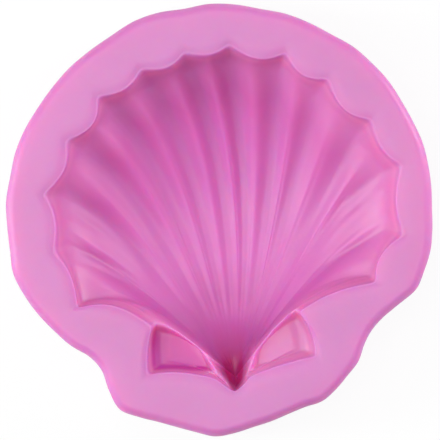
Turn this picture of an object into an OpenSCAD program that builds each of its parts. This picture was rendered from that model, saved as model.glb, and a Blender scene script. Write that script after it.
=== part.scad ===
// Soft mould with a scallop shell hollow, lying on its flat back with the hollow open upwards.
// X runs across the shell, Y from its hinge tip to its fan edge, Z up from the flat back.
// The origin is on the back, under the middle of the outline.

/* [Hollow] */
// width of the hollow between its outermost points
hollow_w = 67.3; // [48:0.1:120]
// length of the hollow from the hinge tip to the top point
hollow_l = 64.9; // [46:0.1:116]
// depth of the shell's border and of the two ears under the rim face
plate_d = 3.5; // [2.4:0.1:6]
// further depth of the fan's domed middle under the border
dome_d = 11.7; // [6:0.1:18]
// depth of the grooves between the ribs
groove_d = 1.6; // [0.5:0.05:2.2]
// depth of the crests between the ears and the fan under the rim face
crest_d = 1.4; // [0.8:0.1:2.2]

/* [Rim] */
// width of the rim beside the hollow, left and right
rim_side = 6.4; // [4.8:0.1:12]
// width of the rim above the fan and below the hinge
rim_end = 8.1; // [6:0.1:14]
// thickness of the soft material under the deepest place
floor_t = 6; // [2.5:0.1:14]

/* [Edges] */
// rounding of the outer edge on the open face
edge_r = 2.2; // [0.8:0.1:3]
// small rounding of the outer edge on the flat back
base_r = 0.8; // [0.3:0.1:1.6]

/* [Hidden] */
// outline points are shares of half the hollow's length, seen from the middle of the outline
// the widest point's share of the same unit
wide_share = 1.0375;
unit_x = hollow_w / 2 / wide_share;
unit_y = hollow_l / 2;
// shares of the outer outline's widest and longest half, the rim included
outer_wide_share = 1.2334;
outer_long_share = 1.2507;
outer_x = (hollow_w / 2 + rim_side) / outer_wide_share;
outer_y = (hollow_l / 2 + rim_end) / outer_long_share;
body_h = plate_d + dome_d + groove_d / 2 + floor_t;

// Corners of the hollow's rim line, counter-clockwise from the hinge tip.
// Each row holds x share, y share, how far the edge to the next corner bulges inwards
// at the rim and at the foot of the wall (shares of that edge), and the wall's run share.
corner_shares = [
    [-0.008, -0.818, -0.06, 0, 0.017],      // hinge tip
    [0.086, -0.732, 0.03, 0.03, 0.023],     // right ear, inner end
    [0.475, -0.614, -0.085, -0.085, 0.075], // right ear, outer corner
    [0.375, -0.357, 0.07, 0.055, 0.035],    // right notch
    [0.816, -0.190, 0.185, -0.03, 0.058],   // right fan corner
    [0.974, 0.098, 0.09, -0.035, 0.104],
    [0.960, 0.490, 0.12, -0.035, 0.104],
    [0.784, 0.755, 0.19, -0.035, 0.104],
    [0.533, 0.991, 0.195, -0.035, 0.104],
    [0.285, 1.137, 0.165, -0.035, 0.104],
    [-0.036, 1.182, 0.12, -0.035, 0.104],   // top point
    [-0.294, 1.135, 0.15, -0.035, 0.104],
    [-0.542, 1.041, 0.145, -0.035, 0.104],
    [-0.795, 0.882, 0.22, -0.035, 0.104],
    [-0.974, 0.628, 0.145, -0.035, 0.104],
    [-1.101, 0.319, 0.10, -0.035, 0.104],   // widest point
    [-1.040, -0.012, 0.09, -0.035, 0.081],
    [-0.914, -0.340, 0.145, 0.145, 0.052],  // left fan corner
    [-0.484, -0.444, -0.05, -0.05, 0.04],   // left notch
    [-0.513, -0.726, 0.065, 0.065, 0.08],   // left ear, outer corner
    [-0.121, -0.741, 0, 0, 0.020]           // left ear, inner end
];
corner_n = len(corner_shares);
hinge_share = [0.003, -0.738];
first_lobe_i = 4;
last_lobe_i = 17;
left_notch_i = 18;

// Where the crest of each of the fan's ribs meets the edge, as a share of its lobe.
crest_shares = [0.5, 0.42, 0.5, 0.55, 0.58, 0.55, 0.52, 0.45, 0.45, 0.45, 0.5, 0.65, 0.62];

// How the lines that run out from the hinge bend: place along the rim line, angle at the
// hinge in degrees, and the power with which the angle changes on the way to the edge.
bend_shares = [
    [0, -98.4, 1.03], [0.5, -32.5, 1.46], [1, 26.4, 1.43], [2, 44.5, 1.8],
    [3, 53.7, 3.25], [3.06, 54, 3.21], [3.5, 54.8, 2.76], [4, 55.8, 2.34],
    [4.5, 56.7, 1.76], [5.42, 59.3, 0.88], [6.5, 61.5, 3.19], [7.55, 67.7, 0.5],
    [8.58, 69.9, 0.5], [9.55, 79.9, 1], [10.52, 87.8, 1.66], [11.45, 97, 3.45],
    [12.45, 104.9, 3.89], [13.45, 112.9, 3.34], [14.5, 123.6, 4.32], [15.65, 133.9, 1.47],
    [16.62, 137.2, 2.48], [17, 138.1, 3.64], [18, 140.3, 4.99], [19, 147.6, 2.27],
    [20, 159.5, 1.46], [20.5, 200.8, 1.37], [21, 258.6, 0.69]
];

// Distance of the outer outline from its middle, every six degrees counter-clockwise from +X.
outline_step_angle = 6;
outline_shares = [
    1.127, 1.144, 1.161, 1.190, 1.219, 1.248, 1.268, 1.291, 1.320, 1.340,
    1.360, 1.366, 1.383, 1.398, 1.403, 1.421, 1.432, 1.427, 1.444, 1.447,
    1.432, 1.427, 1.424, 1.415, 1.406, 1.401, 1.389, 1.366, 1.352, 1.323,
    1.300, 1.288, 1.245, 1.196, 1.144, 1.098, 1.043, 1.037, 1.089, 1.135,
    1.112, 1.086, 1.075, 1.075, 1.081, 1.055, 1.026, 1.009, 0.994, 0.991,
    1.006, 0.991, 0.971, 0.957, 0.922, 0.914, 0.940, 0.997, 1.069, 1.098
];

// Rings of points, as shares of the way from the hinge to the foot of the wall.
ray_shares = [0.02, 0.04, 0.06, 0.08, 0.105, 0.13, 0.19, 0.26, 0.33, 0.40, 0.48,
    0.56, 0.64, 0.72, 0.79, 0.86, 0.92, 0.97, 1];
// Rings of points, as shares of the way from the foot of the wall up to the rim line.
wall_shares = [0.12, 0.28, 0.45, 0.62, 0.78, 0.91, 1];
// Shape of the dome: where it is deepest along a rib, and its depth at the fan's lower edges.
deep_share = 0.48;
border_share = 0.34;
// How fast the wall falls from the rim: the larger the power, the rounder its upper edge.
wall_power_share = 2.5;
wall_bend_share = 0.2;
// The part of each lobe's half that stays groove before the rib rises.
groove_floor_share = 0.22;
// How low the first and the last groove are, and over how many lobes they grow to full depth.
low_rib_share = 0.3;
low_lobe_count = 3.5;
// The depths of the two ears as shares of the border's.
right_ear_share = 0.9;
left_ear_share = 1.25;
// How far from the crests the ears' pockets reach their full depth, near the hinge.
ear_share = 0.08;
// Distances from the hinge: where the ears are free of the crests, where the fan's border begins
// to sink and how far it takes, how far the pit at the hinge reaches, and where the crests no
// longer hold the dome back.
ear_free_share = 0.3;
sink_share = 0.03;
border_run_share = 0.35;
pit_share = 0.2;
free_share = 0.62;
// Further depth of the pit at the hinge as a share of the dome's.
pit_deep_share = 0.6;
pit_d = dome_d * pit_deep_share;
// How steeply the crests' inner sides fall, and the rounding of their tops as a share of their depth.
side_slope_share = 8;
crest_round_share = 0.21;
crest_round = crest_d * crest_round_share;
// The two crests drawn on past the hinge: where they meet, and their angles from +X.
apex_share = [0.021, -0.858];
right_crest_angle = 71;
left_crest_angle = 128;
// How much of the crests' hold on the dome is let go on the way to the edge.
let_go_share = 0.999;
// Powers of the groove's growth along a rib and of the dome's two slopes along it.
groove_power_share = 1.5;
near_power_share = 0.3;
far_power_share = 2;
lobe_skew_share = 0.88;
// Angles of the points on the two rounded outer edges.
round_angles = [0, 22.5, 45, 67.5, 90];
base_angles = [0, 45, 90];

function turn_left(v) = [-v[1], v[0]];
function unit_of(v) = v / norm(v);
function share_pt(k) = [corner_shares[k % corner_n][0], corner_shares[k % corner_n][1]];
function edge_normal(k) = unit_of(turn_left(share_pt(k + 1) - share_pt(k)));
function foot_pt(k) = share_pt(k)
    + unit_of(edge_normal(k) + edge_normal(k + corner_n - 1)) * corner_shares[k % corner_n][4];
function arc_pt(a, b, f, skewed, bulge) = a + (b - a) * f
    + turn_left(b - a) * bulge * sin(180 * pow(f, skewed));
function lip_at(t) = let(k = floor(t))
    arc_pt(share_pt(k), share_pt(k + 1), t - k, lobe_skew_share, corner_shares[k % corner_n][2]);
function foot_at(t) = let(k = floor(t))
    arc_pt(foot_pt(k), foot_pt(k + 1), t - k, 1, corner_shares[k % corner_n][3]);

// the angle of a foot point seen from the hinge, kept rising along the rim line
function foot_angle(t) = let(v = foot_at(t) - hinge_share, a = atan2(v[1], v[0]))
    (t > corner_n / 2 && a < 0) ? a + 360 : a;
function start_angle(t) = lookup(t, [for (b = bend_shares) [b[0], b[1]]]);
function ray_at(t, s) = let(
        a0 = start_angle(t),
        p = lookup(t, [for (b = bend_shares) [b[0], b[2]]]),
        a = a0 + (foot_angle(t) - a0) * pow(s, p)
    ) hinge_share + norm(foot_at(t) - hinge_share) * s * [cos(a), sin(a)];

// the share of the groove depth: one in a groove, none on the crest of a rib
function lobe_of(t) = min(max(floor(t) - first_lobe_i, 0), last_lobe_i - first_lobe_i - 1);
function crest_way(t) = let(c = crest_shares[lobe_of(t)], f = t - first_lobe_i - lobe_of(t))
    f < c ? f / c : (1 - f) / (1 - c);
function ease(f) = f * f * (3 - 2 * f);
function in_one(f) = min(max(f, 0), 1);
function fan_fade(t) = low_rib_share
    + (1 - low_rib_share) * ease(in_one(min(t - first_lobe_i, last_lobe_i - t) / low_lobe_count));
function groove_share(t) = (t < first_lobe_i || t > last_lobe_i) ? 0
    : fan_fade(t) * (1 - ease(in_one((crest_way(t) - groove_floor_share) / (1 - groove_floor_share))));

// the dome's share across the fan and along a rib, up to the rim line
function across(t) = let(u = in_one(abs(2 * (t - first_lobe_i) / (last_lobe_i - first_lobe_i) - 1)))
    (border_share + (1 - border_share) * pow(1 - pow(u, 2.2), 0.7))
    * ease(in_one(t - first_lobe_i + 1)) * ease(in_one(left_notch_i - t));
function along(s) = s < deep_share
    ? pow(1 - pow(1 - s / deep_share, 2.2), near_power_share)
    : 1 - pow((s - deep_share) / (1 - deep_share), far_power_share);

// the border's share: low on the crests beside the ears and round the hinge tip, full elsewhere
function pocket(t) = t < 1 || t > 20 ? 0
    : t < first_lobe_i - 1 ? in_one((t - 1) * 2) * in_one((first_lobe_i - 1 - t) * 5)
    : t < first_lobe_i ? in_one((t - first_lobe_i + 1) * 3)
    : t <= last_lobe_i ? 1
    : t <= left_notch_i ? in_one((left_notch_i - t) * 3)
    : in_one((20 - t) * 2) * in_one((t - left_notch_i) * 5);
// The way from the nearer crest in shares, inwards: less than nothing in the ears.
first_angle = start_angle(first_lobe_i - 1);
last_angle = start_angle(left_notch_i);
function crest_side(q) = min(
    q[1] * cos(right_crest_angle) - q[0] * sin(right_crest_angle),
    q[0] * sin(left_crest_angle) - q[1] * cos(left_crest_angle));
function way_in(t, s, reach) = let(
        aside_angle = min(start_angle(t) - first_angle, last_angle - start_angle(t))
    ) max(crest_side(ray_at(t, s) - apex_share), reach * sin(min(max(aside_angle, -90), 90)));
// how much of the crests' hold is let go at a distance from the hinge
function held(reach, free) = 1 - let_go_share * ease(in_one(reach / free));

function in_ear(t) = t < first_lobe_i - 1 || t > left_notch_i;
function sunk(t, s, reach) = ease(in_one(in_ear(t)
    ? -way_in(t, s, reach) / ear_share / held(reach, ear_free_share)
    : (reach - sink_share) / border_run_share));
function full_depth(t) = plate_d
    * (!in_ear(t) ? 1 : t < first_lobe_i ? right_ear_share : left_ear_share);
function border_at(t, s, reach) = crest_d + (full_depth(t) - crest_d) * ease(pocket(t)) * sunk(t, s, reach);

// how deep the crests' inner sides let the hollow be: their slope times the way to the nearer
// crest, rounded at the crest and let go along the lines from the hinge
function valley(t, s, reach) = let(way = max(way_in(t, s, reach), 0) * unit_x)
    side_slope_share * way * way / (way + crest_round) / held(reach, free_share);
// the less deep of two, with a soft change from one to the other
function softer(a, b) = a * b == 0 ? 0 : a * b / pow(pow(a, 3) + pow(b, 3), 1 / 3);

// the wall's fall at a distance from the rim line, in runs of the wall
function fall(x) = pow(x, wall_power_share) / (pow(x, wall_power_share) + wall_bend_share);
function run_at(t) = norm(lip_at(t) - foot_at(t));
function runs_from_rim(t, s) = 1 + (1 - s) * norm(foot_at(t) - hinge_share) / run_at(t);
function depth_at(t, s, runs) = let(
        whole = norm(foot_at(t) - hinge_share),
        reach = s * whole,
        way = 1 - runs / (1 + whole / run_at(t)),
        pit = pit_d * (1 - ease(in_one(reach / pit_share))),
        dome = norm([dome_d * across(t) * along(way), pit])
    ) (border_at(t, s, reach) + groove_d * groove_share(t) * pow(s, groove_power_share)
        + softer(valley(t, s, reach), dome)) * fall(runs);

// the outer outline and its outward direction at an angle seen from the middle
outline_n = len(outline_shares);
function outline_share(k) = outline_shares[(k + outline_n) % outline_n];
function blend(a, b, c, d, f) = b + 0.5 * f * (c - a + f * (2 * a - 5 * b + 4 * c - d
    + f * (3 * (b - c) + d - a)));
function outline_r(a) = let(q = (a + 720) / outline_step_angle, k = floor(q))
    blend(outline_share(k - 1), outline_share(k), outline_share(k + 1), outline_share(k + 2), q - k);
function outer_at(a) = outline_r(a) * [outer_x * cos(a), outer_y * sin(a)];
probe_angle = outline_step_angle / 4;
function outer_dir(a) = -turn_left(unit_of(outer_at(a + probe_angle) - outer_at(a - probe_angle)));
outer_ring = [for (a = [0 : 3 : 357]) outer_at(a)];
ring_xs = [for (p = outer_ring) p[0]];
ring_ys = [for (p = outer_ring) p[1]];
middle = [max(ring_xs) + min(ring_xs), max(ring_ys) + min(ring_ys)] / 2;

// Places along the rim line: closer together on the fan's lobes, with one on each crest.
plain_shares = [0, 0.2, 0.4, 0.6, 0.8];
notch_shares = [0, 0.13, 0.26, 0.42, 0.6, 0.8];
tip_shares = [0, 0.25, 0.5, 0.75];
edge_shares = [0, 0.06, 0.14, 0.25, 0.375, 0.5, 0.625, 0.75, 0.875];
lobe_shares = [0, 0.25, 0.5, 0.75];
function lobe_places(k) = let(c = crest_shares[k - first_lobe_i]) concat(
    [for (w = lobe_shares) k + c * w], [for (w = lobe_shares) k + c + (1 - c) * w]);
function edge_places(k) = k >= first_lobe_i && k < last_lobe_i ? lobe_places(k)
    : k == first_lobe_i - 1 ? [for (w = edge_shares) k + w]
    : k == last_lobe_i ? concat([k], [for (j = [len(edge_shares) - 1 : -1 : 1]) k + 1 - edge_shares[j]])
    : k == first_lobe_i - 2
        ? concat([k], [for (j = [len(notch_shares) - 1 : -1 : 1]) k + 1 - notch_shares[j]])
    : k == left_notch_i ? [for (w = notch_shares) k + w]
    : k == 0 || k == corner_n - 1 ? [for (w = tip_shares) k + w]
    : [for (w = plain_shares) k + w];
places = [for (k = [0 : corner_n - 1]) each edge_places(k)];
place_n = len(places);

// places in real sizes
function in_hollow(p, z) = [p[0] * unit_x - middle[0], p[1] * unit_y - middle[1], z];
function on_outline(a, inset, z) = let(p = outer_at(a) - outer_dir(a) * inset - middle) [p[0], p[1], z];
function corner_angle(k) = let(a = atan2(share_pt(k)[1], share_pt(k)[0]))
    (k > corner_n / 2 && a < 0) ? a + 360 : a;
function rim_angle(t) = lookup(t, [for (k = [0 : corner_n]) [k, corner_angle(k)]]);
function hollow_point(t, s) = in_hollow(ray_at(t, s), body_h - depth_at(t, s, runs_from_rim(t, s)));
function wall_point(t, w) = in_hollow(foot_at(t) + (lip_at(t) - foot_at(t)) * w,
    body_h - depth_at(t, 1, 1 - w));

rings = concat(
    [for (s = ray_shares) [for (t = places) hollow_point(t, s)]],
    [for (w = wall_shares) [for (t = places) wall_point(t, w)]],
    [for (a = round_angles) [for (t = places)
        on_outline(rim_angle(t), edge_r * (1 - sin(a)), body_h - edge_r * (1 - cos(a)))]],
    [for (a = base_angles) [for (t = places)
        on_outline(rim_angle(t), base_r * (1 - cos(a)), base_r * (1 - sin(a)))]]
);
ring_n = len(rings);
hinge_point = hollow_point(0, 0);
back_point = [0, 0, 0];
mould_points = concat([for (r = rings) each r], [hinge_point, back_point]);
hinge_i = ring_n * place_n;
back_i = hinge_i + 1;

// the four points of a patch, split along the way that keeps both halves open
function patch(i, j) = let(
        n = (j + 1) % place_n,
        a = i * place_n + j,
        b = i * place_n + n,
        c = (i + 1) * place_n + n,
        d = (i + 1) * place_n + j
    ) places[j] < corner_n / 2 ? [[a, b, d], [b, c, d]] : [[a, b, c], [a, c, d]];
mould_faces = concat(
    [for (i = [0 : ring_n - 2]) for (j = [0 : place_n - 1]) each patch(i, j)],
    [for (j = [0 : place_n - 1]) [hinge_i, (j + 1) % place_n, j]],
    [for (j = [0 : place_n - 1]) let(a = (ring_n - 1) * place_n) [back_i, a + j, a + (j + 1) % place_n]]
);

module mould_body() {
    color([0.87, 0.5, 0.76])
    polyhedron(points = mould_points, faces = mould_faces, convexity = 12);
}

mould_body();
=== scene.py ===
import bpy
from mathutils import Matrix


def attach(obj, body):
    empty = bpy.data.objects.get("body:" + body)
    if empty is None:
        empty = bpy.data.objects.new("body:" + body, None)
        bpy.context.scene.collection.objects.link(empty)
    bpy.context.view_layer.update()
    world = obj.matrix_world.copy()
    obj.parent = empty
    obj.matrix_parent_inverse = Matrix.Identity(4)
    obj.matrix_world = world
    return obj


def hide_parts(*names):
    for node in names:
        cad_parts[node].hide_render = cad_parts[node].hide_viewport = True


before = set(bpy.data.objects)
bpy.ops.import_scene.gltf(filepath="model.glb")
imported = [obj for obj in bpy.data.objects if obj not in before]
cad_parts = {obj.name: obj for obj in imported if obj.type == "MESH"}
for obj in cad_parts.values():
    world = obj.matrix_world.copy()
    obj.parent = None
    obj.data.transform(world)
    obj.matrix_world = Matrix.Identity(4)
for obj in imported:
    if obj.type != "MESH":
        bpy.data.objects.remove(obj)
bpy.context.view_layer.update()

import math

import bpy
import numpy as np

# Sizes of the mould in millimetres.
HOLLOW_W, HOLLOW_L = 67.3, 64.9             # width and length of the hollow
PLATE_D, DOME_D, GROOVE_D = 3.5, 11.7, 1.6  # depth of the border, of the dome in it, of the grooves
CREST_D, PIT_D = 1.4, 7.0                   # depth of the crests beside the hinge, of the pit there
RIM_SIDE, RIM_END, FLOOR_T = 6.4, 8.1, 6.0  # rim beside the hollow and at its ends, floor under it
EDGE_R, EDGE_IN, BASE_R = 2.2, 1.8, 0.8     # outer edge's rounding down and in, the back edge's
LIP_D, LIP_W = 0.3, 2.2                     # roll of the rim at the lip: its depth and its width
BODY_H = PLATE_D + DOME_D + GROOVE_D / 2 + FLOOR_T
MM_PER_M = 1000

# Half of the hollow's length is the unit of the drawing: half of the hollow's width in it, and how
# far the outer outline reaches sideways and lengthways.
WIDE_SHARE, OUTER_WIDE_SHARE, OUTER_LONG_SHARE = 1.0375, 1.2334, 1.2507
UNIT = np.array([HOLLOW_W / 2 / WIDE_SHARE, HOLLOW_L / 2])
OUTER = np.array([(HOLLOW_W / 2 + RIM_SIDE) / OUTER_WIDE_SHARE,
                  (HOLLOW_L / 2 + RIM_END) / OUTER_LONG_SHARE])

# Corners of the rim line from the hinge tip, counter-clockwise: x and y, inward bulge of the edge to
# the next corner at the rim and at the foot of the wall, and how far in the foot of the wall lies.
# A place on the rim line is a corner's number plus the share of the edge that follows it.
CORNERS = np.array([
    [-0.008, -0.822, -0.06, 0, 0.024],
    [0.086, -0.732, 0.03, 0.03, 0.023],
    [0.475, -0.614, -0.085, -0.085, 0.075],
    [0.375, -0.357, 0.07, 0.055, 0.035],
    [0.816, -0.190, 0.185, -0.03, 0.058],
    [0.974, 0.098, 0.09, -0.035, 0.104],
    [0.960, 0.490, 0.12, -0.035, 0.104],
    [0.784, 0.755, 0.19, -0.035, 0.104],
    [0.533, 0.991, 0.195, -0.035, 0.104],
    [0.285, 1.137, 0.165, -0.035, 0.104],
    [-0.036, 1.182, 0.12, -0.035, 0.104],
    [-0.294, 1.135, 0.15, -0.035, 0.104],
    [-0.542, 1.041, 0.145, -0.035, 0.104],
    [-0.795, 0.882, 0.22, -0.035, 0.104],
    [-0.974, 0.628, 0.145, -0.035, 0.104],
    [-1.101, 0.319, 0.10, -0.035, 0.104],
    [-1.040, -0.012, 0.09, -0.035, 0.081],
    [-0.914, -0.340, 0.145, 0.145, 0.052],
    [-0.484, -0.444, -0.05, -0.05, 0.04],
    [-0.513, -0.726, 0.065, 0.065, 0.08],
    [-0.121, -0.741, 0, 0, 0.020],
])
CORNER_N = len(CORNERS)
HINGE = np.array([0.003, -0.738])           # where the lines of the ribs start
RIGHT_TIP, RIGHT_NOTCH, FIRST_LOBE, LAST_LOBE, LEFT_NOTCH, LEFT_TIP = 1, 3, 4, 17, 18, 20
# Where each rib's crest meets the edge of its lobe, as a share of the edge.
CREST_SHARES = np.array([0.5, 0.42, 0.5, 0.55, 0.58, 0.55, 0.52, 0.45, 0.45, 0.45, 0.5, 0.65, 0.62])
# The rim line: how far its bulges lean to their first corner, how much further the fan's corners
# reach and its edges bulge at the lip than in the table, and how far each place is rounded.
RIM_LEAN, CORNER_OUT, BULGE_MORE = 0.88, 0.018, 0.035
ROUNDING = np.array([
    [0, 0.12], [0.5, 0.05], [3, 0.03], [4, 0.03], [5, 0.045], [6, 0.045], [8, 0.05], [16, 0.05],
    [17, 0.03], [20.5, 0.05], [21, 0.12],
])
ROUND_SELF, ROUND_NEAR, ROUND_WIDE = 0.3, 0.2, 0.15     # weights of a place and its neighbours
# How the lines from the hinge bend: place along the rim line, angle at the hinge, power.
BENDS = np.array([
    [0, -98.4, 1.03], [0.5, -32.5, 1.46], [1, 26.4, 1.43], [2, 44.5, 1.8],
    [3, 53.7, 3.25], [3.06, 54, 3.21], [3.5, 54.8, 2.76], [4, 55.8, 2.34],
    [4.5, 56.7, 1.76], [5.42, 59.3, 0.88], [6.5, 61.5, 3.19], [7.55, 67.7, 0.5],
    [8.58, 69.9, 0.5], [9.55, 79.9, 1], [10.52, 87.8, 1.66], [11.45, 97, 3.45],
    [12.45, 104.9, 3.89], [13.45, 112.9, 3.34], [14.5, 123.6, 4.32], [15.65, 133.9, 1.47],
    [16.62, 137.2, 2.48], [17, 138.1, 3.64], [18, 140.3, 4.99], [19, 147.6, 2.27],
    [20, 159.5, 1.46], [20.5, 200.8, 1.37], [21, 258.6, 0.69],
])
# Distance of the outer outline from its middle, at every step of the angle from +X.
OUTLINE_STEP = 6
OUTLINE = np.array([
    1.127, 1.144, 1.161, 1.190, 1.219, 1.248, 1.268, 1.291, 1.320, 1.340,
    1.360, 1.366, 1.383, 1.398, 1.403, 1.421, 1.432, 1.427, 1.444, 1.447,
    1.432, 1.427, 1.424, 1.415, 1.406, 1.401, 1.389, 1.366, 1.352, 1.323,
    1.300, 1.288, 1.245, 1.196, 1.144, 1.098, 1.043, 1.037, 1.089, 1.135,
    1.112, 1.086, 1.075, 1.075, 1.081, 1.055, 1.026, 1.009, 0.994, 0.991,
    1.006, 0.991, 0.971, 0.957, 0.922, 0.914, 0.940, 0.997, 1.069, 1.098,
])

# The dome: where along a rib's line it is deepest, the powers of its rise to there and of its fall
# from there, its share at the sides of the fan, and the powers of its arch across the fan.
DEEP_SHARE, RISE_POWER, RISE_ROOT, FALL_POWER = 0.48, 2.2, 0.3, 2
BORDER_SHARE, ARCH_POWER, ARCH_ROOT = 0.34, 2.2, 0.7
# The grooves: the flat part of their floor, the power of their growth from the hinge, their share
# beside the ears and the number of lobes over which it grows to the full one, and the loss on the
# right side with the place where it starts to lessen and the places that this takes.
GROOVE_FLOOR, GROOVE_POWER, LOW_RIB, LOW_LOBES = 0.22, 1.8, 0.3, 3.5
RIGHT_LOSS, LESSENS_FROM, LESSENS_OVER = 0.6, 6.5, 4
# The ribs of the side floors end before the wall: up to how many lobes from the ears and from which
# share of a rib's line on, each with the stretch over which this changes.
END_LOBES, END_LOBES_OVER, END_SHARE, END_SHARE_OVER = 1.2, 2.5, 0.84, 0.12
# The border: the depths of the two ears as shares of its own, how steeply it goes down per place from
# the hinge tip, from the notches and from the fan's sides, and over which way the ears and, from a
# distance from the hinge on, the fan sink to their depth.
RIGHT_EAR, LEFT_EAR = 0.9, 1.25
TIP_STEEP, NOTCH_STEEP, FAN_STEEP = 2, 5, 3
EAR_RUN, FAN_START, FAN_RUN = 0.08, 0.03, 0.35
# The two crests beside the hinge, drawn on past it: where they meet and their angles, the slope of
# their inner sides and its rounding in millimetres. Their hold on the ears and on the fan gets less
# up to a distance from the hinge, by nearly the whole.
APEX, RIGHT_ANGLE, LEFT_ANGLE = np.array([0.021, -0.858]), 71.0, 128.0
SIDE_SLOPE, CREST_ROUND = 8.0, 0.3
EAR_FREE, FAN_FREE, FREED = 0.3, 0.62, 0.999
# How far the pit reaches, the power by which the less deep of dome and valley counts, and how the
# wall falls.
PIT_REACH, LESS_POWER, TINY = 0.2, 3, 1e-6
WALL_POWER, WALL_BEND = 2.5, 0.2

# Small ribs and creases of the side floors: start, middle and end of each line in millimetres, its
# height (less than nothing for a crease) and its half width. Each starts at a share of its height
# and rises and fades over shares of its length.
SMALL_RIBS = np.array([
    [-29.3, 3.9, -22.2, -1.1, -14.2, -8.8, 0.22, 0.9],
    [-28.2, 0.9, -19.4, -5.6, -11.0, -13.1, 0.16, 0.8],
    [-27.6, -2.2, -20.6, -6.7, -13.0, -12.6, 0.14, 0.6],
    [-26.9, -4.7, -21.3, -7.8, -15.3, -11.8, -0.24, 0.7],
    [-26.0, -6.7, -20.0, -9.7, -12.9, -14.2, 0.20, 0.7],
    [28.8, 6.7, 23.5, 1.5, 17.0, -6.5, 0.30, 0.8],
    [27.7, 3.4, 23.2, -0.8, 17.4, -7.8, 0.24, 0.7],
    [24.9, 6.2, 20.7, -0.4, 15.7, -7.8, -0.20, 0.65],
    [28.8, -3.2, 23.5, -6.2, 18.9, -9.3, -0.18, 0.75],
    [31.2, 0.4, 25.6, -3.6, 18.6, -9.0, 0.20, 0.7],
    [30.0, 4.9, 30.1, 5.5, 30.3, 6.2, 0.25, 0.8],
])
RIB_START, RIB_RISE, RIB_FADE = 0.35, 0.25, 0.5
# Fine creases beside the crests of the upper ribs: place along the rim line, depth, half width. They
# lie between two distances from the hinge and fade in and out over a third.
CREST_CREASES = np.array([
    [6.40, 0.08, 0.05], [7.47, 0.09, 0.045], [7.66, 0.06, 0.04], [8.50, 0.09, 0.045],
    [8.68, 0.06, 0.04], [9.62, 0.07, 0.04], [10.45, 0.07, 0.04], [12.38, 0.08, 0.04],
    [13.38, 0.09, 0.04], [14.42, 0.09, 0.045],
])
CREASE_FROM, CREASE_TO, CREASE_FADE = 0.45, 1.55, 0.3

# The painted shade that the material reads. Hinge: painted shade of the pit, how far it reaches, how
# wide it fades beside the crests, at the hinge and more with the distance, how much it loses up the wall
# and how soon.
HINGE_REACH, FADE_W, FADE_GROWTH, WALL_LOSS, WALL_RATE = 0.7, 0.016, 0.4, 0.6, 1.5
# Upper edge of the fan: its painted shade, its place on the rim line and half width, and the share of a
# rib's line where it starts and the share that it grows over.
TOP_PAINTED_SHADE, TOP_PLACE, TOP_HALF, TOP_START, TOP_OVER = 0.3, 10.7, 1.5, 0.8, 0.16
# Left ear: the depth where its painted shade starts, the depth that it grows over, both in millimetres,
# and the way from the crest that it grows over.
EAR_TONE_D, EAR_TONE_OVER, EAR_TONE_RUN = 2.0, 1.8, 0.05

# The mesh: points on a lobe's edge and on the other edges of the rim line, the numbers of rings close
# round the hinge, on the floor and on the wall, the step between the first ones and the share of the
# lines from the hinge where the floor's start.
LOBE_POINTS = 28
OTHER_POINTS = {0: 14, 1: 20, 2: 20, 3: 26, 17: 26, 18: 20, 19: 22, 20: 14}
HINGE_RINGS, FLOOR_RINGS, WALL_RINGS = 11, 80, 24
HINGE_STEP, FLOOR_START = 0.005, 0.063
FAR_RUNS = 4.0                              # the hinge's distance from the rim in runs of the wall
# Rings of the rim by their distance from the lip in millimetres, numbers of rings on the rounded
# edge, the side and the back edge, how the edge's rounding is drawn in, and the rings of the back.
LIP_RINGS = np.array([0.12, 0.28, 0.5, 0.8, 1.2, 1.7, 2.3])
EDGE_RINGS, SIDE_RINGS, BACK_RINGS, EDGE_POWER = 12, 6, 6, 0.85
BACK_SHARES = (0.8, 0.55, 0.3, 0.1)


def unit(v):
    """Vectors divided by their lengths."""
    return v / np.linalg.norm(v, axis=-1, keepdims=True)


def turn_left(v):
    """Vectors turned a quarter turn counter-clockwise."""
    return np.stack([-v[..., 1], v[..., 0]], -1)


RIM_PTS = CORNERS[:, :2]
EDGE_NORMALS = unit(turn_left(np.roll(RIM_PTS, -1, 0) - RIM_PTS))
CORNER_NORMALS = unit(EDGE_NORMALS + np.roll(EDGE_NORMALS, 1, 0))
FOOT_PTS = RIM_PTS + CORNER_NORMALS * CORNERS[:, 4:5]
IN_FAN = (np.arange(CORNER_N) > FIRST_LOBE) & (np.arange(CORNER_N) < LAST_LOBE)
LIP_PTS = RIM_PTS - CORNER_NORMALS * np.where(IN_FAN, CORNER_OUT, 0)[:, None]
LIP_BULGES = CORNERS[:, 2] + np.where(IN_FAN, BULGE_MORE, 0)


def along_edges(points, bulges, t, lean):
    """Points at places t of a chain of arcs: the straight edge plus its left normal times a half
    sine, whose middle leans to the first corner where the power of the way is less than one."""
    k = np.floor(t).astype(int) % CORNER_N
    f = (t - np.floor(t))[:, None]
    a, b = points[k], points[(k + 1) % CORNER_N]
    return a + (b - a) * f + turn_left(b - a) * bulges[k][:, None] * np.sin(np.pi * f ** lean)


def lip_at(t):
    """Rim line: the chain of arcs, rounded by averaging each place with two neighbours each way."""
    def sharp(q):
        return along_edges(LIP_PTS, LIP_BULGES, q % CORNER_N, RIM_LEAN)
    near = np.interp(t, ROUNDING[:, 0], ROUNDING[:, 1])
    wide = 2 * near
    return (ROUND_SELF * sharp(t) + ROUND_NEAR * (sharp(t - near) + sharp(t + near))
            + ROUND_WIDE * (sharp(t - wide) + sharp(t + wide)))


def foot_at(t):
    """Foot of the wall: the chain of arcs through the corners' feet."""
    return along_edges(FOOT_PTS, CORNERS[:, 3], t, 1.0)


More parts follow.
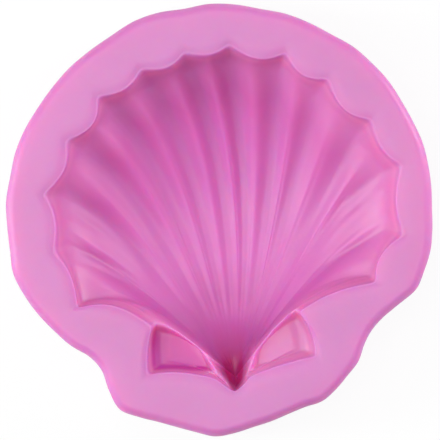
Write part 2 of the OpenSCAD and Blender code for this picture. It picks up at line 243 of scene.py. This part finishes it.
def ray_at(t, s):
    """Points at shares s of the lines from the hinge to the foot of the wall; the angle goes from
    its value at the hinge to its value at the foot with a power of s."""
    v = foot_at(t) - HINGE
    reach = np.linalg.norm(v, axis=1)
    end = np.degrees(np.arctan2(v[:, 1], v[:, 0]))
    end = np.where((t > CORNER_N / 2) & (end < 0), end + 360, end)
    start = np.interp(t, BENDS[:, 0], BENDS[:, 1])
    power = np.interp(t, BENDS[:, 0], BENDS[:, 2])
    a = np.radians(start + (end - start) * s ** power)
    return HINGE + np.stack([np.cos(a), np.sin(a)], -1) * (reach * s)[..., None]


def outline_at(a):
    """Outer outline at angles a in degrees: a smooth curve through the table's distances (each piece
    a cubic with its neighbours' slopes), stretched in X and Y."""
    q = (a % 360) / OUTLINE_STEP
    k = np.floor(q).astype(int)
    f = q - k
    p0, p1, p2, p3 = (OUTLINE[(k + i) % len(OUTLINE)] for i in (-1, 0, 1, 2))
    r = p1 + 0.5 * f * (p2 - p0 + f * (2 * p0 - 5 * p1 + 4 * p2 - p3 + f * (3 * (p1 - p2) + p3 - p0)))
    return np.stack([r * OUTER[0] * np.cos(np.radians(a)), r * OUTER[1] * np.sin(np.radians(a))], -1)


RING = outline_at(np.arange(0, 360, OUTLINE_STEP / 2))
MIDDLE = (RING.max(0) + RING.min(0)) / 2


def ease(f):
    """Smooth step: three f squared less two f cubed, held between 0 and 1."""
    f = np.clip(f, 0, 1)
    return f * f * (3 - 2 * f)


def from_ears(t):
    """Places between t and the nearer end of the fan."""
    return np.minimum(t - FIRST_LOBE, LAST_LOBE - t)


def crest_way(t):
    """0 in the groove between two lobes, 1 on the crest of the rib."""
    k = np.clip(np.floor(t).astype(int) - FIRST_LOBE, 0, len(CREST_SHARES) - 1)
    c = CREST_SHARES[k]
    f = np.clip(t - FIRST_LOBE - k, 0, 1)
    return np.where(f < c, f / c, (1 - f) / (1 - c))


def groove_share(t):
    """Flat in the groove, then a smooth step up to the rib's crest; less deep beside the ears and on
    the right."""
    fade = LOW_RIB + (1 - LOW_RIB) * ease(from_ears(t) / LOW_LOBES)
    fade *= 1 - RIGHT_LOSS * (1 - ease((t - LESSENS_FROM) / LESSENS_OVER))
    step = 1 - ease((crest_way(t) - GROOVE_FLOOR) / (1 - GROOVE_FLOOR))
    return np.where(from_ears(t) >= 0, fade * step, 0)


def across(t):
    """The dome's share across the fan: a low border, then a flattened arch."""
    u = np.clip(np.abs(2 * (t - FIRST_LOBE) / (LAST_LOBE - FIRST_LOBE) - 1), 0, 1)
    arch = BORDER_SHARE + (1 - BORDER_SHARE) * (1 - u ** ARCH_POWER) ** ARCH_ROOT
    return arch * ease(t - RIGHT_NOTCH) * ease(LEFT_NOTCH - t)


def along(s):
    """The dome's share along a rib: steep out of the hinge, flat in the middle, then less and less to
    the rim line."""
    rise = (1 - (1 - np.clip(s / DEEP_SHARE, 0, 1)) ** RISE_POWER) ** RISE_ROOT
    drop = 1 - np.clip((s - DEEP_SHARE) / (1 - DEEP_SHARE), 0, 1) ** FALL_POWER
    return np.where(s < DEEP_SHARE, rise, drop)


def pocket(t):
    """0 on the crests beside the ears and round the hinge tip, 1 in the ears and in the fan."""
    right = np.clip((t - RIGHT_TIP) * TIP_STEEP, 0, 1) * np.clip((RIGHT_NOTCH - t) * NOTCH_STEEP, 0, 1)
    left = np.clip((LEFT_TIP - t) * TIP_STEEP, 0, 1) * np.clip((t - LEFT_NOTCH) * NOTCH_STEEP, 0, 1)
    fan = np.clip(np.minimum(t - RIGHT_NOTCH, LEFT_NOTCH - t) * FAN_STEEP, 0, 1)
    return np.where(t < RIGHT_NOTCH, right, np.where(t > LEFT_NOTCH, left, fan))


def way_in(t, p, reach):
    """Way of points p from the nearer of the two crests beside the hinge, negative in the ears:
    the larger of the ways to the straight crests and to the crest lines of the lattice."""
    q = p - APEX
    right, left = np.radians(RIGHT_ANGLE), np.radians(LEFT_ANGLE)
    wedge = np.minimum(q[..., 1] * math.cos(right) - q[..., 0] * math.sin(right),
                       q[..., 0] * math.sin(left) - q[..., 1] * math.cos(left))
    start, first, last = (np.interp(k, BENDS[:, 0], BENDS[:, 1]) for k in (t, RIGHT_NOTCH, LEFT_NOTCH))
    aside = np.radians(np.clip(np.minimum(start - first, last - start), -90, 90))
    return np.maximum(wedge, reach * np.sin(aside))


def held(reach, free):
    """How much of the crests' hold is left at a distance from the hinge."""
    return 1 - FREED * ease(reach / free)


def border_at(t, p, reach):
    """Depth of the hollow's border: the crests' depth, deeper in the ears and in the fan."""
    in_ear = (t < RIGHT_NOTCH) | (t > LEFT_NOTCH)
    sunk = ease(np.where(in_ear, -way_in(t, p, reach) / EAR_RUN / held(reach, EAR_FREE),
                         (reach - FAN_START) / FAN_RUN))
    full = PLATE_D * np.where(in_ear, np.where(t < RIGHT_NOTCH, RIGHT_EAR, LEFT_EAR), 1)
    return CREST_D + (full - CREST_D) * ease(pocket(t)) * sunk


def valley(t, p, reach):
    """How deep the crests' inner sides let the hollow be at points p: their slope times the way to
    the nearer crest, rounded at the crest and let go along the lines from the hinge."""
    way = np.maximum(way_in(t, p, reach), 0) * UNIT[0]
    return SIDE_SLOPE * way ** 2 / (way + CREST_ROUND) / held(reach, FAN_FREE)


def fall(x):
    """The wall's fall at a distance from the rim line in runs of the wall: a round edge, then steep,
    then easing out."""
    return x ** WALL_POWER / (x ** WALL_POWER + WALL_BEND)


def small_ribs(q):
    """Height of the small ribs at points q in millimetres: a bell across the way to a bent line of
    three points, tapering at both ends of it."""
    height = np.zeros(q.shape[:-1])
    for x0, y0, x1, y1, x2, y2, tall, half in SMALL_RIBS:
        bend = np.array([x1, y1])
        near, share = np.full(height.shape, np.inf), np.zeros(height.shape)
        for a, b, start in ((np.array([x0, y0]), bend, 0.0), (bend, np.array([x2, y2]), 0.5)):
            f = np.clip((q - a) @ (b - a) / ((b - a) @ (b - a)), 0, 1)
            away = np.linalg.norm(q - a - f[..., None] * (b - a), axis=-1)
            share = np.where(away < near, start + f / 2, share)
            near = np.minimum(near, away)
        taper = (RIB_START + (1 - RIB_START) * ease(share / RIB_RISE)) * ease((1 - share) / RIB_FADE)
        height += tall * np.exp(-(near / half) ** 2) * taper
    return height


def crest_creases(t, reach):
    """Depth of the fine creases beside the ribs' crests: a bell across each, the same along it."""
    bells = sum(deep * np.exp(-((t - place) / half) ** 2) for place, deep, half in CREST_CREASES)
    return bells * ease((reach - CREASE_FROM) / CREASE_FADE) * ease((CREASE_TO - reach) / CREASE_FADE)


def rib_end(t, s):
    """1 on the fan's side floors near the wall, where the ribs have ended, 0 elsewhere."""
    low = 1 - ease((from_ears(t) - END_LOBES) / END_LOBES_OVER)
    return low * ease((s - END_SHARE) / END_SHARE_OVER)


def depth_at(t, s, p, runs):
    """Depth at points p at shares s of the lines from the hinge, at distances from the rim line in
    runs of the wall: border, groove and dome times the wall's fall. The valley beside the crests
    holds the dome back where it is the less deep of the two."""
    foot = foot_at(t)
    whole = np.linalg.norm(foot - HINGE, axis=1)
    reach = s * whole
    way = 1 - runs / (1 + whole / np.linalg.norm(lip_at(t) - foot, axis=1))
    pit = PIT_D * (1 - ease(reach / PIT_REACH))
    dome = np.hypot(DOME_D * across(t) * along(way), pit) + TINY
    side = valley(t, p, reach) + TINY
    inner = (side ** -LESS_POWER + dome ** -LESS_POWER) ** (-1 / LESS_POWER)
    groove = groove_share(t)
    groove = groove + (np.maximum(groove, LOW_RIB) - groove) * rib_end(t, s)
    fine = crest_creases(t, reach) - small_ribs(p * UNIT - MIDDLE)
    return (border_at(t, p, reach) + GROOVE_D * groove * s ** GROOVE_POWER + inner + fine) * fall(runs)


def painted_shade(t, p, reach):
    """Painted shade of the pit: 1 in the pit at the hinge, fading out over the fan, 0 on the crests and
    outside them.
    """
    beside = ease(way_in(t, p, reach) / (FADE_W + FADE_GROWTH * reach))
    return np.clip(1 - reach / HINGE_REACH, 0, 1) * beside


def placed(p, z):
    """Points of the drawing in millimetres, with heights."""
    q = p * UNIT - MIDDLE
    return np.concatenate([q, np.broadcast_to(z, q.shape[:-1])[..., None]], -1)


def hollow_rings(t):
    """Rings of points at places t, from the hinge out over the floor and up the wall to the lip, and
    their painted shade: that of the pit at the hinge, which gets less up the wall, a bell of painted
    shade under the fan's upper edge, which ends on the upper half of the wall, and painted shade in the
    left ear, given as less than nothing."""
    close = np.arange(1, HINGE_RINGS + 1) * HINGE_STEP
    s = np.concatenate([close, np.linspace(FLOOR_START, 1, FLOOR_RINGS)])[:, None]
    w = np.linspace(0, 1, WALL_RINGS + 1)[1:, None]
    foot, lip = foot_at(t), lip_at(t)
    whole = np.linalg.norm(foot - HINGE, axis=1)
    runs = 1 + (1 - s) * whole / np.linalg.norm(lip - foot, axis=1)
    floor, wall = ray_at(t, s), foot + (lip - foot) * w[..., None]
    floor_d = depth_at(t, s, floor, runs)
    wall_d = depth_at(t, np.ones((1, 1)), foot[None], 1 - w) + LIP_D * w ** 2
    points, depth = np.concatenate([floor, wall]), np.concatenate([floor_d, wall_d])
    # Painted shade: a bell under the fan's upper edge, added to the painted shade of the pit at the
    # hinge.
    upper = TOP_PAINTED_SHADE * np.exp(-((t - TOP_PLACE) / TOP_HALF) ** 2)
    floor_tone = painted_shade(t, floor, s * whole) + upper * ease((s - TOP_START) / TOP_OVER)
    wall_tone = painted_shade(t, wall, np.linalg.norm(wall - HINGE, axis=-1))
    wall_tone = wall_tone * (1 - WALL_LOSS * ease(w * WALL_RATE)) + upper * (1 - ease(w * 2 - 1))
    # Painted shade in the left ear, taken off the tone.
    left_ear_shade = ease((depth - EAR_TONE_D) / EAR_TONE_OVER) * ease(-way_in(t, points, 1) / EAR_TONE_RUN)
    left_ear_shade *= (t > LEFT_NOTCH) & (t < LEFT_TIP + 0.5)
    return placed(points, BODY_H - depth), np.concatenate([floor_tone, wall_tone]) - left_ear_shade


def outer_rings(t, lip):
    """Rings of points from the lip over the rim and its rounded edge, down the side and in under the
    back. The rim rolls down to the lip with the square of the way."""
    corner_angles = np.degrees(np.arctan2(RIM_PTS[:, 1], RIM_PTS[:, 0]))
    corner_angles = np.append(corner_angles, corner_angles[0])
    second_half = corner_angles[CORNER_N // 2 + 1:]
    second_half += np.where(second_half < 0, 360, 0)
    a = np.interp(t, np.arange(CORNER_N + 1), corner_angles)
    edge = outline_at(a)
    out = -turn_left(unit(outline_at(a + OUTLINE_STEP / 4) - outline_at(a - OUTLINE_STEP / 4)))

    def on_edge(inset, z):
        return np.concatenate([edge - out * inset - MIDDLE, np.full((len(t), 1), z)], -1)

    inner = on_edge(EDGE_IN, BODY_H)
    away = LIP_RINGS[:, None]
    rim = lip + (inner - lip) * (away / np.linalg.norm((inner - lip)[:, :2], axis=1))[..., None]
    rim[..., 2] = BODY_H - LIP_D * (1 - np.minimum(away / LIP_W, 1)) ** 2
    turn = np.radians(np.linspace(0, 90, EDGE_RINGS))
    drawn_in = EDGE_IN * (1 - np.sin(turn) ** EDGE_POWER)
    top = np.stack([on_edge(*q) for q in zip(drawn_in, BODY_H - EDGE_R * (1 - np.cos(turn)))])
    side = np.stack([on_edge(0, z) for z in np.linspace(BODY_H - EDGE_R, BASE_R, SIDE_RINGS)[1:-1]])
    turn = np.radians(np.linspace(0, 90, BACK_RINGS))
    back = np.stack([on_edge(*q) for q in zip(BASE_R * (1 - np.cos(turn)), BASE_R * (1 - np.sin(turn)))])
    inset = np.stack([on_edge(BASE_R, 0) * np.array([f, f, 1]) for f in BACK_SHARES])
    return np.concatenate([rim, top, side, back, inset])


def closed_skin(name, rings, tone, first, last):
    """Mesh of rings joined by patches, closed by a fan at each end. The first rings, those with a
    painted shade, lie in the hollow: their depth under the rim goes into one attribute, as a share of
    the mould's height, and their painted shade into another. Both are 0 on the other rings."""
    n, m = rings.shape[:2]
    points = np.concatenate([rings.reshape(-1, 3), [first, last]]) / MM_PER_M
    i, j = np.meshgrid(np.arange(n - 1), np.arange(m), indexing="ij")
    k = (j + 1) % m
    quads = np.stack([i * m + j, (i + 1) * m + j, (i + 1) * m + k, i * m + k], -1).reshape(-1, 4)
    col = np.arange(m)
    start = np.stack([np.full(m, n * m), col, (col + 1) % m], -1)
    end = np.stack([np.full(m, n * m + 1), (n - 1) * m + (col + 1) % m, (n - 1) * m + col], -1)
    mesh = bpy.data.meshes.new(name)
    mesh.from_pydata(points.tolist(), [], quads.tolist() + start.tolist() + end.tolist())
    mesh.polygons.foreach_set("use_smooth", np.ones(len(mesh.polygons), bool))
    mesh.update()
    piece = bpy.data.objects.new(name, mesh)
    bpy.context.scene.collection.objects.link(piece)
    below_rim = 1 - rings[:len(tone), :, 2] / BODY_H
    # The second attribute holds the painted shade of the pit, the fan's upper edge and the left ear.
    for mark, values, at_first in (("hollow_depth", below_rim, 1 - first[2] / BODY_H),
                                   ("painted_shade", tone, 1)):
        marks = np.zeros(len(points))
        marks[:values.size], marks[-2] = values.ravel(), at_first
        mesh.attributes.new(mark, "FLOAT", "POINT").data.foreach_set("value", marks)
    return piece


def node(tree, kind, **values):
    """A shader node with its fields and socket values set."""
    made = tree.nodes.new(kind)
    for key, value in values.items():
        if key in made.inputs:
            made.inputs[key].default_value = value
        else:
            setattr(made, key, value)
    return made


def ramp(tree, reads, stops):
    """The colour of a ramp with the given stops, each a place and a colour, read at an output."""
    made = node(tree, "ShaderNodeValToRGB")
    marks = made.color_ramp.elements
    for mark, (place, colour) in zip(marks, (stops[0], stops[-1])):
        mark.position, mark.color = place, (*colour, 1)
    for place, colour in stops[1:-1]:
        marks.new(place).color = (*colour, 1)
    tree.links.new(reads, made.inputs["Fac"])
    return made.outputs["Color"]


def product(tree, first, second):
    """Two colours multiplied. The Mix node's colour sockets are found by number."""
    made = node(tree, "ShaderNodeMix", data_type="RGBA", blend_type="MULTIPLY", Factor=1.0)
    tree.links.new(first, made.inputs[6])
    tree.links.new(second, made.inputs[7])
    return made.outputs[2]


# Colours by the depth under the rim as a share of the height, painted light and shade: lighter just
# under the lip and on the walls, darker and redder on the deeper floor. Painted shade by the tone from
# -1 in the left ear over 0 to 1 in the pit, mapped to 0 to 1. A faint random mottle by the noise.
DEPTH_PAINTED_LIGHT_SHADE = (
    (0, (0.60, 0.185, 0.50)), (0.012, (0.62, 0.20, 0.515)), (0.035, (0.62, 0.18, 0.485)),
    (0.09, (0.75, 0.235, 0.53)), (0.16, (0.71, 0.195, 0.50)), (0.3, (0.70, 0.182, 0.51)),
    (0.42, (0.655, 0.134, 0.47)), (0.75, (0.71, 0.161, 0.555)),
)
# Painted shade colours: the left ear at 0, none at 0.5, the pit at 1.
PAINTED_SHADE_TONES = (
    (0, (0.94, 0.34, 0.86)), (0.5, (1, 1, 1)), (0.65, (0.89, 0.75, 0.85)), (0.75, (0.92, 0.73, 0.87)),
    (0.875, (0.92, 0.54, 0.74)), (0.935, (0.90, 0.15, 0.47)), (1, (1, 0.18, 0.54)),
)
MOTTLE_TONES = ((0.3, (0.95, 0.93, 0.94)), (0.7, (1, 1, 1)))


def silicone_finish():
    """Soft pink silicone: slightly see-through, satin, with a fine skin. Its colour is painted light and
    shade by its depth under the rim, times a faint mottle, times painted shade in the pit at the hinge,
    under the fan's upper edge and in the left ear."""
    mat = bpy.data.materials.new("pink_silicone")
    mat.use_nodes = True
    tree = mat.node_tree
    skin = tree.nodes["Principled BSDF"]
    skin.inputs["Roughness"].default_value = 0.48
    skin.inputs["IOR"].default_value = 1.43
    skin.inputs["Specular IOR Level"].default_value = 1.0
    skin.inputs["Subsurface Weight"].default_value = 0.8
    skin.inputs["Subsurface Radius"].default_value = (1.0, 0.1, 0.28)
    skin.inputs["Subsurface Scale"].default_value = 0.01
    place = node(tree, "ShaderNodeTexCoord")
    depth = node(tree, "ShaderNodeAttribute", attribute_name="hollow_depth")
    shade = node(tree, "ShaderNodeAttribute", attribute_name="painted_shade")
    halved = node(tree, "ShaderNodeMapRange")
    halved.inputs["From Min"].default_value = -1.0
    tree.links.new(shade.outputs["Fac"], halved.inputs["Value"])
    cloud = node(tree, "ShaderNodeTexNoise", Scale=55.0, Detail=3.0, Roughness=0.5)
    tree.links.new(place.outputs["Object"], cloud.inputs["Vector"])
    # Painted light and shade by the depth, times a faint random mottle.
    mottled = product(tree, ramp(tree, depth.outputs["Fac"], DEPTH_PAINTED_LIGHT_SHADE),
                      ramp(tree, cloud.outputs["Fac"], MOTTLE_TONES))
    # The mottled colour times the painted shade.
    shaded = product(tree, mottled, ramp(tree, halved.outputs["Result"], PAINTED_SHADE_TONES))
    tree.links.new(shaded, skin.inputs["Base Color"])
    pores = node(tree, "ShaderNodeTexNoise", Scale=1400.0, Detail=2.0, Roughness=0.6)
    grain = node(tree, "ShaderNodeBump", Strength=0.08, Distance=0.0002)
    tree.links.new(place.outputs["Object"], pores.inputs["Vector"])
    tree.links.new(pores.outputs["Fac"], grain.inputs["Height"])
    tree.links.new(grain.outputs["Normal"], skin.inputs["Normal"])
    return mat


def shell_mould():
    """The mould's one piece: the hollow's rings and the outer rings in one closed skin."""
    counts = [OTHER_POINTS.get(k, LOBE_POINTS) for k in range(CORNER_N)]
    t = np.concatenate([k + np.arange(n) / n for k, n in enumerate(counts)])
    hollow, tone = hollow_rings(t)
    rings = np.concatenate([hollow, outer_rings(t, hollow[-1])])
    nought, far = np.zeros((1, 1)), np.full((1, 1), FAR_RUNS)
    pole_depth = depth_at(nought[0], nought, HINGE[None, None], far)[0, 0]
    pole = np.append(HINGE * UNIT - MIDDLE, BODY_H - pole_depth)
    return closed_skin("shell_mould", rings, tone, pole, np.zeros(3))


mould = shell_mould()
mould.data.materials.append(silicone_finish())
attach(mould, "root")
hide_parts("mould_body")

# The floor's half side in metres, its paper's colour, roughness and share of plain white where it is
# seen, and the strength of the pale surround.
FLOOR_HALF, PAPER, PAPER_ROUGH, PAPER_WHITE, SURROUND = 3.0, (0.9, 0.9, 0.9, 1), 0.8, 0.9, 0.33
# Soft lamps: name, place, width and length in metres, power in watts, colour.
LAMPS = (
    ("left_lamp", (-0.565, 0.0, 0.19), 0.16, 0.9, 4.3, (0.87, 1, 0.89)),
    ("right_lamp", (0.52, 0.24, 0.18), 0.16, 0.34, 2.1, (1, 1, 1)),
    ("top_lamp", (-0.15, 0.0, 1.33), 0.8, 0.8, 8.0, (1, 1, 1)),
)
# The camera: how far above the rim it is and how far to the right, the width of what it sees at the
# rim's height, all in metres, and its film's width in millimetres.
CAMERA_UP, CAMERA_X, SEEN_W, FILM_W = 1.0, 0.00015, 0.08224, 36


def white_floor():
    """Square floor of white paper, which looks plain white to the camera and in reflections and
    still takes a part of the mould's shadow."""
    mesh = bpy.data.meshes.new("studio_floor")
    h = FLOOR_HALF
    mesh.from_pydata([(-h, -h, 0), (h, -h, 0), (h, h, 0), (-h, h, 0)], [], [(0, 1, 2, 3)])
    floor = bpy.data.objects.new("studio_floor", mesh)
    bpy.context.scene.collection.objects.link(floor)
    paper = bpy.data.materials.new("white_paper")
    paper.use_nodes = True
    tree = paper.node_tree
    matt = tree.nodes["Principled BSDF"]
    matt.inputs["Base Color"].default_value = PAPER
    matt.inputs["Roughness"].default_value = PAPER_ROUGH
    rays = node(tree, "ShaderNodeLightPath")
    seen = node(tree, "ShaderNodeMath", operation="ADD")
    seen_through = node(tree, "ShaderNodeMath", operation="ADD", use_clamp=True)
    pale = node(tree, "ShaderNodeMath", operation="MULTIPLY")
    pale.inputs[1].default_value = PAPER_WHITE
    white = node(tree, "ShaderNodeEmission", Color=(1, 1, 1, 1), Strength=1.0)
    blend = node(tree, "ShaderNodeMixShader")
    tree.links.new(rays.outputs["Is Camera Ray"], seen.inputs[0])
    tree.links.new(rays.outputs["Is Glossy Ray"], seen.inputs[1])
    tree.links.new(seen.outputs[0], seen_through.inputs[0])
    tree.links.new(rays.outputs["Is Transmission Ray"], seen_through.inputs[1])
    tree.links.new(seen_through.outputs[0], pale.inputs[0])
    tree.links.new(pale.outputs[0], blend.inputs[0])
    tree.links.new(matt.outputs[0], blend.inputs[1])
    tree.links.new(white.outputs[0], blend.inputs[2])
    tree.links.new(blend.outputs[0], tree.nodes["Material Output"].inputs["Surface"])
    mesh.materials.append(paper)
    return floor


def soft_light():
    """A pale surround, a low soft lamp on each side and a soft one above, all turned to the mould."""
    world = bpy.data.worlds.new("pale_surround")
    world.use_nodes = True
    world.node_tree.nodes["Background"].inputs["Color"].default_value = (1, 1, 1, 1)
    world.node_tree.nodes["Background"].inputs["Strength"].default_value = SURROUND
    bpy.context.scene.world = world
    for name, place, wide, long, power, colour in LAMPS:
        lamp = bpy.data.lights.new(name, "AREA")
        lamp.shape = "RECTANGLE"
        lamp.size, lamp.size_y = wide, long
        lamp.energy = power
        lamp.color = colour
        holder = bpy.data.objects.new(name, lamp)
        holder.location = place
        holder.rotation_euler = holder.location.to_track_quat("Z", "Y").to_euler()
        bpy.context.scene.collection.objects.link(holder)


def overhead_camera():
    """Camera straight above the mould, as the photograph's was."""
    lens = bpy.data.cameras.new("overhead")
    camera = bpy.data.objects.new("overhead", lens)
    lens.sensor_width = FILM_W
    lens.lens = FILM_W * CAMERA_UP / SEEN_W
    camera.location = (CAMERA_X, 0.0, BODY_H / MM_PER_M + CAMERA_UP)
    bpy.context.scene.collection.objects.link(camera)
    bpy.context.scene.camera = camera


floor = white_floor()
soft_light()
overhead_camera()
bpy.context.scene.view_settings.view_transform = "Standard"
